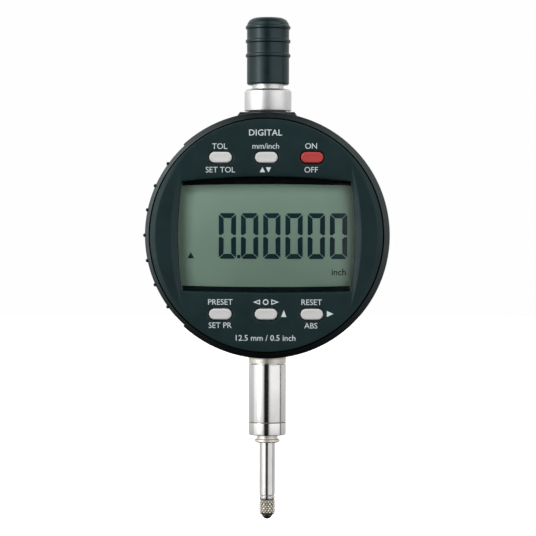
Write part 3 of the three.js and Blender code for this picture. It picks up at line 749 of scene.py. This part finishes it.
def make_window():
    # The lens's side wall and first chamfer take the light edge plastic at the left and right ends only: a
    # painted highlight for the bright lines along those edges.
    lens = loft("window_pane", inset(WINDOW, 0.04), [
        (0, -13.3), (0, -14.5), (0.22, -14.72), (0.42, -14.93), (0.46, -14.94),
    ], [MAT["window"], MAT["window_edge_painted_highlight"]], 25, [1, 1, 0, 0, 0])
    for f in lens.data.polygons:
        if abs(f.center.x) < 20.5 * MM:
            f.material_index = 0
    replace(lens, "display", "window", "window_lens")

    lcd_loop = barrel(21.95, 21.3, 12.85, 12.5, -12.92, -12.6)
    outer = barrel(23.0, 22.7, 15.4, 14.4, -15.0, -14.6)
    count = len(outer)
    verts, faces = [], []
    inner = inset(outer, 0.4)
    for loop, y in ((outer, -8.3), (outer, -13.0), (inset(WINDOW, -0.25), -13.0),
                    (inset(WINDOW, 0.15), -12.9), (lcd_loop, -12.25), (lcd_loop, -12.1), (inner, -12.1),
                    (inner, -8.3)):
        verts += [(x, y, z) for x, z in loop]
    rows = len(verts) // count
    for row in range(rows):
        nxt = (row + 1) % rows
        for i in range(count):
            j = (i + 1) % count
            faces.append((row * count + i, row * count + j, nxt * count + j, nxt * count + i))
    holder = mesh_object("lcd_surround", verts, faces, [MAT["dark"], MAT["shell"]], 30)
    # The surround is split by height: the lower sill takes the lighter shell plastic as painted light; the
    # walls above keep the frame's own dark plastic, which here also stands in for painted shade.
    painted_light_sill_z = place(0, 0, -12.3).z
    for f in holder.data.polygons:
        f.material_index = 1 if f.center.z < painted_light_sill_z else 0
    replace(holder, "display", "dark_plastic", "lcd_frame")

    panel = loft("lcd_glass", barrel(22.5, 22.45, 14.3, 14.25, -14.3, -14.25), [
        (0.0, -10.0), (0, -11.85), (0.08, -11.95), (0.15, -11.98),
    ], MAT["lcd"], 30)
    replace(panel, "display", "lcd", "lcd_panel")


# ---------------------------------------------------------------- what the LCD shows

DIGIT_W, DIGIT_H, STROKE = 4.34, 11.5, 1.26
DIGIT_X0, DIGIT_PITCH = -9.82, 5.57
DIGIT_Z = -0.15
LCD_FRONT = -12.0


def flat_shapes(name, polygons, depth_at, thick, mat, slot):
    """Flat shapes with a little thickness: the LCD's segments and the printed signs."""
    verts, faces = [], []
    for poly in polygons:
        start, n = len(verts), len(poly)
        for lift in (0.0, thick):
            verts += [(x, depth_at(x, z) - lift, z) for x, z in poly]
        faces.append(tuple(range(start, start + n)))
        faces.append(tuple(range(start + n, start + 2 * n)))
        faces += [(start + i, start + (i + 1) % n, start + n + (i + 1) % n, start + n + i) for i in range(n)]
    replace(mesh_object(name, verts, faces, mat, 30), "display", slot)


def zero_segments(cx, cz):
    """The six lit bars of a seven-segment 0, with mitred ends."""
    w, h, t, gap = DIGIT_W / 2, DIGIT_H / 2, STROKE, 0.07
    c = 0.42
    bars = []
    for up in (1, -1):
        bars.append([(cx - w + c + gap, cz + up * (h - 0.02)), (cx + w - c - gap, cz + up * (h - 0.02)),
                     (cx + w - gap * 0.6 - 0.22, cz + up * (h - 0.3)),
                     (cx + w - t - gap * 0.4, cz + up * (h - t)), (cx - w + t + gap * 0.4, cz + up * (h - t)),
                     (cx - w + gap * 0.6 + 0.22, cz + up * (h - 0.3))])
        for side in (1, -1):
            bars.append([(cx + side * w, cz + up * (h - c - gap)),
                         (cx + side * (w - 0.18), cz + up * (h - 0.42 - gap)),
                         (cx + side * (w - t + 0.05), cz + up * (h - t - gap * 1.8)),
                         (cx + side * (w - t), cz + up * (0.75)), (cx + side * (w - t / 2), cz + up * 0.24),
                         (cx + side * (w - 0.14), cz + up * 0.24), (cx + side * w, cz + up * 0.5)])
    return bars


def make_readout():
    bars = []
    for k in range(6):
        bars += zero_segments(DIGIT_X0 + k * DIGIT_PITCH, DIGIT_Z)
    point_x = DIGIT_X0 + DIGIT_PITCH / 2 + 0.05
    left, right = point_x - 0.42, point_x + 0.42
    bars.append([(left, -5.72), (right, -5.72), (right, -4.9), (left, -4.9)])
    bars.append([(-19.85, -5.75), (-18.15, -5.75), (-19.0, -4.2)])
    flat_shapes("lcd_digits", bars, lambda x, z: LCD_FRONT, 0.03, MAT["segment"], "lcd")


# ---------------------------------------------------------------- lettering


def text_mesh(name, words, cap_height, centre, mat, on_face=True, weight=0.0, spacing=1.0, slot="key_white"):
    """Generic function lettering, printed on the face or shown on the LCD."""
    def flat_text(content):
        data = bpy.data.curves.new(name, "FONT")
        data.body = content
        data.align_x = "CENTER"
        data.size = 1
        data.space_character = spacing
        data.offset = weight
        data.extrude = 0.006
        data.resolution_u = 3
        thing = bpy.data.objects.new(name, data)
        bpy.context.scene.collection.objects.link(thing)
        graph = bpy.context.evaluated_depsgraph_get()
        made = bpy.data.meshes.new_from_object(thing.evaluated_get(graph))
        bpy.data.objects.remove(thing)
        bpy.data.curves.remove(data)
        return made
    probe = flat_text("H")
    unit = max(v.co.y for v in probe.vertices) - min(v.co.y for v in probe.vertices)
    bpy.data.meshes.remove(probe)
    made = flat_text(words)
    size = cap_height / unit
    xs = [v.co.x for v in made.vertices]
    shift = (max(xs) + min(xs)) / 2
    for v in made.vertices:
        x = centre[0] + (v.co.x - shift) * size
        z = centre[1] + (v.co.y - unit / 2) * size
        lift = 0.02 + v.co.z
        y = float(face_y(x, z)) - lift if on_face else LCD_FRONT - lift
        v.co = place(x, y, z)
    made.materials.append(mat)
    thing = bpy.data.objects.new(name, made)
    bpy.context.scene.collection.objects.link(thing)
    tidy_mesh(made, 30)
    replace(thing, "display", slot)


def printed_shapes(name, polygons):
    flat_shapes(name, polygons, lambda x, z: float(face_y(x, z)), 0.025, MAT["print"], "key_white")


def outline_bars(loop, width):
    """The outline of a small closed loop as separate bars."""
    inner = inset(loop, width)
    ahead = [(i + 1) % len(loop) for i in range(len(loop))]
    return [[loop[i], loop[j], inner[j], inner[i]] for i, j in enumerate(ahead)]


CAP_H = 1.36


def make_labels():
    x = KEY_X
    words = [
        ("label_tol", "TOL", -11.62, 22.18), ("label_unit", "mm/inch", -0.16, 22.24),
        ("label_on", "ON", 11.1, 22.25),
        ("label_set_tol", "SET TOL", -11.44, 16.34), ("label_off", "OFF", 11.15, 16.35),
        ("label_preset", "PRESET", -11.38, -16.59), ("label_reset", "RESET", 11.34, -16.6),
        ("label_set_pr", "SET PR", -11.44, -22.38), ("label_abs", "ABS", 11.15, -22.43),
    ]
    for name, content, cx, cz in words:
        text_mesh(name, content, CAP_H, (cx, cz), MAT["print"], weight=-0.002, spacing=0.98)
    text_mesh("label_range", "12.5 mm / 0.5 inch", 1.4, (-0.1, -25.5), MAT["print"], weight=0.002)
    text_mesh("label_kind", "DIGITAL", 1.5, (-0.2, 25.6), MAT["print"], weight=0.006, spacing=1.04)
    text_mesh("lcd_unit", "inch", 1.62, (18.1, -9.1), MAT["ghost"], on_face=False, weight=0.018, slot="lcd")
    up = [(-0.6, -0.62), (0.72, -0.62), (0.06, 0.68)]
    marks = [
        [(x[1] - 1.03 + p, 16.35 + q) for p, q in up],
        [(x[1] + 0.47 + p, 16.35 - q) for p, q in up],
        [(4.35 + p, -19.44 + q * 1.35) for p, q in up],
        [(15.12, -20.24), (15.12, -18.74), (16.77, -19.49)],
    ]
    printed_shapes("label_arrows", [m if i != 1 else m[::-1] for i, m in enumerate(marks)])
    left = [(-1.5, -17.24), (-1.5, -15.94), (-3.25, -16.59)]
    right = [(1.3, -17.29), (3.2, -16.59), (1.3, -15.89)]
    ring = circle(0.72, -0.1, -16.59, 20)
    bars = outline_bars(left[::-1], 0.22) + outline_bars(right, 0.22) + outline_bars(ring, 0.24)
    printed_shapes("label_zero", bars)


def make_keys():
    for row, column, x, z in KEY_PLACES:
        red = row == "top" and column == "right"
        top = float(face_y(x, z)) - 0.42
        cap = loft(f"key_cap_{row}_{column}", pill(5.6, 2.7, x, z), [
            (-0.6, -13.5), (-0.6, -14.05), (0, -14.05), (0, top + 0.3), (0.05, top + 0.14),
            (0.14, top + 0.04), (0.3, top), (0.65, top + 0.02), (0.95, top + 0.045), (1.15, top + 0.05),
        ], MAT["key_red"] if red else MAT["key"], 40)
        replace(cap, f"key_{row}_{column}", "key_red" if red else "key_white", f"key_{row}_{column}")


# ---------------------------------------------------------------- case


def prism_y(name, loop, y0, y1, bevel, mats):
    return loft(name, loop, [(bevel, y0), (bevel * 0.3, y0 + bevel * 0.3), (0, y0 + bevel),
                             (0, y1 - bevel), (bevel * 0.3, y1 - bevel * 0.3), (bevel, y1)], mats, 40)


def make_case():
    ring = lathe("case_body", [
        (GAP_R, -3.9, 0), (GAP_R, -14.8, 0.08), (GAP_R + 0.12, -14.86, 0.08), (30.66, -14.1, 0.25),
        (CASE_R, -13.85, 0.25), (CASE_R, -6.1, 0.3), (30.0, -5.7, 0.2), (30.0, 9.5, 1.0), (28.9, 10.6, 0.3),
        (28.5, 10.6, 0.1), (28.5, 7.8), (27.3, 7.8), (27.3, -3), (9, -3), (9, -3.9), (GAP_R, -3.9, 0),
    ], MAT["case"], "Y", 288, steps=5)
    sweep = [math.pi + math.radians(GRIP_HALF_ANGLE * (k / 10 - 1)) for k in range(21)]
    sector = [(0.0, 0.0)] + [(40 * math.cos(a), 40 * math.sin(a)) for a in sweep]
    wedge = loft("wedge", sector, [(0, -16), (0, -6.6)], MAT["case"])
    band = lathe("band", [
        (GRIP_R, -16), (34, -16), (34, -6.6), (GRIP_R, -6.6), (GRIP_R, -16),
    ], MAT["case"], "Y", 288)
    boolean(band, wedge, "INTERSECT")
    boolean(ring, band, "DIFFERENCE")
    for k in range(-3, 4):
        a = math.pi + math.radians(RIB_PITCH * k)
        cx, cz = (GRIP_R + 0.05) * math.cos(a), (GRIP_R + 0.05) * math.sin(a)
        rib = lathe(f"rib_{k + 3}", [
            (0, -14.55), (0.25, -14.5), (0.42, -14.2), (0.47, -13.8), (0.47, -7.1), (0.4, -6.85), (0, -6.8),
        ], MAT["case"], "Y", 20, (cx, cz))
        boolean(ring, rib, "UNION")
    ledge_outline = [(-8.4, 28.7), (8.4, 28.7), (8.0, 29.5), (6.9, 31.13), (-6.9, 31.13), (-8.0, 29.5)]
    ledge = prism_y("ledge", ledge_outline, -8.5, 8.5, 0.3, MAT["case"])
    hump = prism_y("hump", [(-5.4, 30.9), (5.4, 30.9), (4.4, 31.67), (-4.4, 31.67)], -7, 7, 0.15, MAT["case"])
    boolean(ledge, hump, "UNION")
    bore = lathe("bore", [(0, 29.9), (5.5, 29.9), (5.5, 36), (0, 36)], MAT["case"], "Z", 64)
    boolean(ledge, bore, "DIFFERENCE")
    boolean(ring, ledge, "UNION")
    stem_seat = lathe("stem_seat", [(0, -36), (5.0, -36), (5.0, -29.75), (0, -29.75)], MAT["case"], "Z", 64)
    boolean(ring, stem_seat, "DIFFERENCE")
    replace(ring, "case", "case_black", "case_housing")


def screw_head(name, node, body):
    """Pan-head cross-recess screw along Y on the CAD screw's axis, head towards +Y."""
    lo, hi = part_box(node)
    cx, cz = (lo.x + hi.x) / 2 / MM, (lo.z + hi.z) / 2 / MM - BODY_Z
    r = (hi.x - lo.x) / 2 / MM
    y0, y1 = lo.y / MM, hi.y / MM
    seat = y1 - 0.7
    piece = lathe(name, [
        (0, y0), (0.55, y0, 0.1), (0.8, y0 + 0.35, 0.1), (0.8, seat), (r, seat, 0.06), (r, seat + 0.3, 0.2),
        (r * 0.72, y1 - 0.03, 0.4), (0, y1),
    ], MAT["zinc"], "Y", 48, (cx, cz), 4)
    long, wide = r * 0.62, r * 0.13
    for i, (u, v) in enumerate(((long, wide), (wide, long))):
        bar = [(cx - u, cz - v), (cx + u, cz - v), (cx + u, cz + v), (cx - u, cz + v)]
        tool = loft(f"{name}_slot_{i}", bar, [(0, y1 - 0.45), (-0.03, y1 + 0.3)], MAT["zinc"])
        boolean(piece, tool, "DIFFERENCE")
    replace(piece, body, "zinc", node)


def make_back():
    lo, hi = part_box("battery_lid")
    lid = ((lo.x + hi.x) / 2 / MM, (lo.z + hi.z) / 2 / MM - BODY_Z, (hi.x - lo.x) / 2 / MM)
    cover = lathe("rear_cover", [
        (0, 8.6), (28.1, 8.6, 0.1), (28.1, 9.8, 0.4), (27.5, 10.3, 0.3), (23.5, 10.3, 0.2), (22.9, 10.0, 0.2),
        (0, 10.0),
    ], MAT["cover"], "Y", 240)
    for i in range(1, 5):
        c = centre_of(f"cover_screw_{i}")
        at = (c.x / MM, c.z / MM - BODY_Z)
        seat = [(0, 9.3), (2.25, 9.3), (2.4, 10.4), (2.6, 11), (0, 11)]
        boolean(cover, lathe("tool", seat, MAT["cover"], "Y", 48, at), "DIFFERENCE")
    r = lid[2]
    for profile in ([(0, 9.3), (r + 0.3, 9.3), (r + 0.4, 11), (0, 11)],
                    [(0, 8), (r - 0.55, 8), (r - 0.55, 9.4), (0, 9.4)]):
        boolean(cover, lathe("tool", profile, MAT["cover"], "Y", 64, lid[:2]), "DIFFERENCE")
    replace(cover, "case", "case_black", "back_cover")
    for i in range(1, 5):
        screw_head(f"cover_screw_head_{i}", f"cover_screw_{i}", "case")

    disc = lathe("battery_door", [
        (0, 8.0), (r - 0.85, 8.0, 0.1), (r - 0.85, 9.6), (r, 9.6, 0.05), (r, 10.05, 0.15),
        (r - 0.3, 10.25, 0.1), (r - 1.2, 10.25, 0.05), (r - 1.35, 10.12, 0.05), (0, 10.12),
    ], MAT["cover"], "Y", 96, lid[:2])
    levels = [(0, 9.35), (0, 9.9), (-0.12, 10.5)]
    slot = loft("coin_slot", pill(8.4, 1.5, lid[0], lid[1]), levels, MAT["cover"])
    boolean(disc, slot, "DIFFERENCE")
    replace(disc, "battery_lid", "case_black", "battery_lid")


# ---------------------------------------------------------------- stem, spindle, contact point


def make_stem():
    top, end = -32.9, -51.05

    # the groove's faces take the darker groove metal: painted shade in the groove
    def groove_shade_slot(a, b):
        at_groove = -47.95 < (a[1] + b[1]) / 2 < -47.6
        return int(at_groove and max(a[0], b[0]) < STEM_R + 0.01 and min(a[0], b[0]) < STEM_R - 0.1)

    stem = lathe("stem_tube", [
        (3.6, -22.4), (3.9, -22.4, 0.1), (3.9, top), (STEM_R, top, 0.12), (STEM_R, -47.62, 0.02),
        (STEM_R - 0.3, -47.65), (STEM_R - 0.3, -47.87), (STEM_R, -47.9, 0.02), (STEM_R, end, 0.22),
        (3.0, end, 0.1), (2.95, -48.7), (3.6, -48.7), (3.6, -22.4),
    ], [MAT["steel"], MAT["groove"]], segments=160, slot_at=groove_shade_slot)
    replace(stem, "case", "bright_steel", "stem")
    collar = lathe("stem_ring", [
        (4.2, -29.9), (4.85, -29.9, 0.05), (4.85, -31.2, 0.1), (4.74, -31.6, 0.15), (4.74, -32.68, 0.08),
        (4.2, -32.7), (4.2, -29.9),
    ], MAT["warm"], segments=128)
    replace(collar, "case", "warm_metal", "stem_collar")
    bush = lathe("stem_bush", [
        (2.12, -43), (3.3, -43), (3.3, -48.4), (2.65, -48.4), (2.65, -52.15, 0.1), (3.18, -52.2, 0.08),
        (3.18, -52.78, 0.08), (2.85, -53.0, 0.06), (2.12, -53.0, 0.05), (2.12, -43),
    ], MAT["warm"], segments=96)
    replace(bush, "case", "warm_metal", "guide_bush")


def make_top():
    collar = lathe("cap_collar", [
        (4.3, 30.05), (5.2, 30.05), (5.2, 31.8), (6.0, 31.8, 0.1), (6.0, 36.75, 0.5), (5.35, 37.3, 0.3),
        (4.3, 37.3, 0.15), (4.3, 30.05),
    ], MAT["satin"], segments=160)
    replace(collar, "case", "satin_metal", "top_collar")
    tube = lathe("cap_tube", [
        (2.3, 27.6), (4.0, 27.6, 0.1), (4.0, 52.5, 0.1), (3.6, 52.9, 0.1), (2.3, 52.9), (2.3, 27.6),
    ], MAT["satin"], segments=128)
    replace(tube, "case", "bright_steel", "guide_tube")

    points = [(4.3, 38.5, 0.1), (5.15, 38.5, 0.2), (5.4, 38.85, 0.2)]
    for z in (46.02, 49.68, 53.2):
        points += [(5.4, z - 0.62, 0.05), (5.74, z - 0.4, 0.14), (5.74, z + 0.2, 0.14),
                   (5.42, z + 0.42, 0.08), (5.38, z + 0.95, 0.1), (5.4, z + 1.15, 0.1)]
    shoulder = [(5.25, 54.2, 0.5), (4.72, 55.0, 0.7), (3.8, 55.5, 0.8), (2.6, 55.6, 0.5), (0, 55.6)]
    points = points[:-2] + shoulder + [(0, 53.5), (4.3, 53.5), (4.3, 38.5, 0.1)]
    cap = lathe("lifting_cap", points, MAT["cap"], segments=192)
    recess = lathe("tool", [(0, 54.5), (2.15, 54.5), (2.25, 57), (0, 57)], MAT["cap"], "Z", 64)
    boolean(cap, recess, "DIFFERENCE")
    boolean(cap, lathe("tool", [(0, 52), (1.1, 52), (1.1, 55), (0, 55)], MAT["cap"], "Z", 32), "DIFFERENCE")
    replace(cap, "spindle_unit", "cap_black", "lift_cap")
    screw = lathe("cap_screw_head", [
        (0, 48.5), (0.6, 48.5), (0.8, 48.8), (0.8, 54.8), (1.85, 54.8, 0.1), (1.85, 55.1, 0.2),
        (1.3, 55.4, 0.25), (0, 55.44),
    ], MAT["zinc"], segments=48)
    slot = loft("tool", [(-2.2, 55.05), (2.2, 55.05), (2.2, 56), (-2.2, 56)], [(0, -0.24), (0, 0.24)],
                MAT["zinc"])
    boolean(screw, slot, "DIFFERENCE")
    replace(screw, "spindle_unit", "zinc", "cap_screw")


def make_spindle():
    seam = -66.6
    rod = lathe("spindle_rod", [
        (0, -61.5), (1.2, -61.5), (1.2, seam + 0.03), (1.9, seam + 0.03, 0.05), (2.0, seam + 0.16, 0.06),
        (2.0, 52.9, 0.1), (1.8, 53.1), (1.1, 53.1), (1.1, 47.5), (0, 47.5),
    ], MAT["spindle"], segments=96)
    replace(rod, "spindle_unit", "bright_steel", "spindle")

    around, rows = 216, 110
    z_top, z_low = -67.7, -71.2
    pitch = 2 * math.pi / 14
    neck = [(0.9, -62.0), (0.9, -66.7), (1.82, -66.7), (1.96, -66.85), (1.96, -67.5), (1.9, -67.62)]
    verts, faces, index = [], [], []

    def ring(r_of, z):
        index.append(list(range(len(verts), len(verts) + around)))
        for s in range(around):
            a = 2 * math.pi * s / around
            r = r_of(a)
            verts.append((r * math.cos(a), r * math.sin(a), z))

    for r, z in neck:
        ring(lambda a, r=r: r, z)
    for k in range(rows + 1):
        t = k / rows
        z = z_top + (z_low - z_top) * t
        ends = min(1.0, t / 0.06, (1 - t) / 0.06)
        twist = (z - z_top) / 2.5

        def knurl(a, twist=twist, ends=ends):
            p = 1 - abs(((a + twist) / pitch) % 1 - 0.5) * 2
            q = 1 - abs(((a - twist) / pitch) % 1 - 0.5) * 2
            return 1.74 + ends * 0.28 * min(1.0, 1.6 * min(p, q))
        ring(knurl, z)
    for r, z in ((1.8, -71.3), (1.7, -71.45), (1.56, -71.55), (1.47, -71.56), (1.3, -71.35)):
        ring(lambda a, r=r: r, z)
    top = len(verts)
    verts.append((0, 0, -62.0))
    low = len(verts)
    verts.append((0, 0, -70.6))
    for i in range(len(index) - 1):
        for s in range(around):
            t = (s + 1) % around
            faces.append((index[i][s], index[i][t], index[i + 1][t], index[i + 1][s]))
    for s in range(around):
        t = (s + 1) % around
        faces.append((top, index[0][t], index[0][s]))
        faces.append((low, index[-1][s], index[-1][t]))
    point = mesh_object("contact_body", verts, faces, [MAT["knurl"], MAT["spindle"], MAT["knurl_hollow_shade"]], 28)
    # faces lower than the knurl's crest, the hollows, the knurl's ends and the rings below, take the dark
    # metal: painted shade
    limit = place(0, 0, -67.66).z
    for f in point.data.polygons:
        hollow = math.hypot(f.center.x, f.center.y) < 1.82 * MM
        f.material_index = 1 if f.center.z > limit else 2 if hollow else 0
    replace(point, "spindle_unit", "warm_metal", "contact_point")

    r = 1.4
    arc = [(r * math.sin(math.pi * k / 32), TIP_Z + r - r * math.cos(math.pi * k / 32)) for k in range(33)]
    ball = lathe("carbide_ball", [(max(0, p), h) for p, h in arc], MAT["carbide"], segments=64)
    replace(ball, "spindle_unit", "carbide", "contact_ball")


SPRING_TURNS = 11


def make_spring():
    """Return spring under the guide tube: closed end coils."""
    lo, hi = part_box("return_spring")
    wire = 0.22
    z0, z1 = lo.z / MM - BODY_Z + wire, hi.z / MM - BODY_Z - wire
    reach = (hi.x - lo.x) / 2 / MM - wire
    rows, sides = 480, 10
    verts, faces = [], []
    for k in range(rows + 1):
        t = k / rows
        rise = np.interp(t, [0, 0.09, 0.91, 1], [0, 0.018, 0.982, 1])
        a = 2 * math.pi * SPRING_TURNS * t
        for i in range(sides):
            b = 2 * math.pi * i / sides
            r = reach + wire * math.cos(b)
            verts.append((r * math.cos(a), r * math.sin(a), z0 + (z1 - z0) * rise + wire * math.sin(b)))
    for k in range(rows):
        for i in range(sides):
            j = (i + 1) % sides
            faces.append((k * sides + i, k * sides + j, (k + 1) * sides + j, (k + 1) * sides + i))
    faces += [tuple(range(sides)), tuple(range(rows * sides, (rows + 1) * sides))]
    spring = mesh_object("spring_wire", verts, faces, MAT["steel"], 40)
    replace(spring, "spindle_unit", "bright_steel", "return_spring")
    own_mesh(spring)


# ---------------------------------------------------------------- inner CAD pieces keep their shape

CAD_LOOKS = {
    "bright_steel": "steel", "satin_metal": "satin", "warm_metal": "warm", "contact_brass": "brass",
    "carbide": "carbide", "window": "window", "dark_plastic": "dark", "board": "board", "rubber": "rubber",
    "zinc": "zinc", "lcd": "lcd", "case_black": "cover", "shell_black": "shell", "cap_black": "cap",
    "key_white": "key", "key_red": "key_red",
}


def dress_cad_nodes():
    for part in frame["record"]["subparts"]:
        thing = NODES[part["node"]]
        look = MAT[CAD_LOOKS[part["material_slot"]]]
        if not thing.data.materials:
            thing.data.materials.append(look)
        for slot in thing.material_slots:
            slot.material = look
        weld = thing.modifiers.new("weld", "WELD")
        weld.merge_threshold = 0.00001
        edges = thing.modifiers.new("edges", "BEVEL")
        edges.width, edges.segments = 0.00006, 2
        edges.limit_method, edges.angle_limit = "ANGLE", math.radians(40)


dress_cad_nodes()
make_case()
make_back()
make_display_shell()
make_window()
make_readout()
make_keys()
make_labels()
make_stem()
make_top()
make_spindle()
make_spring()
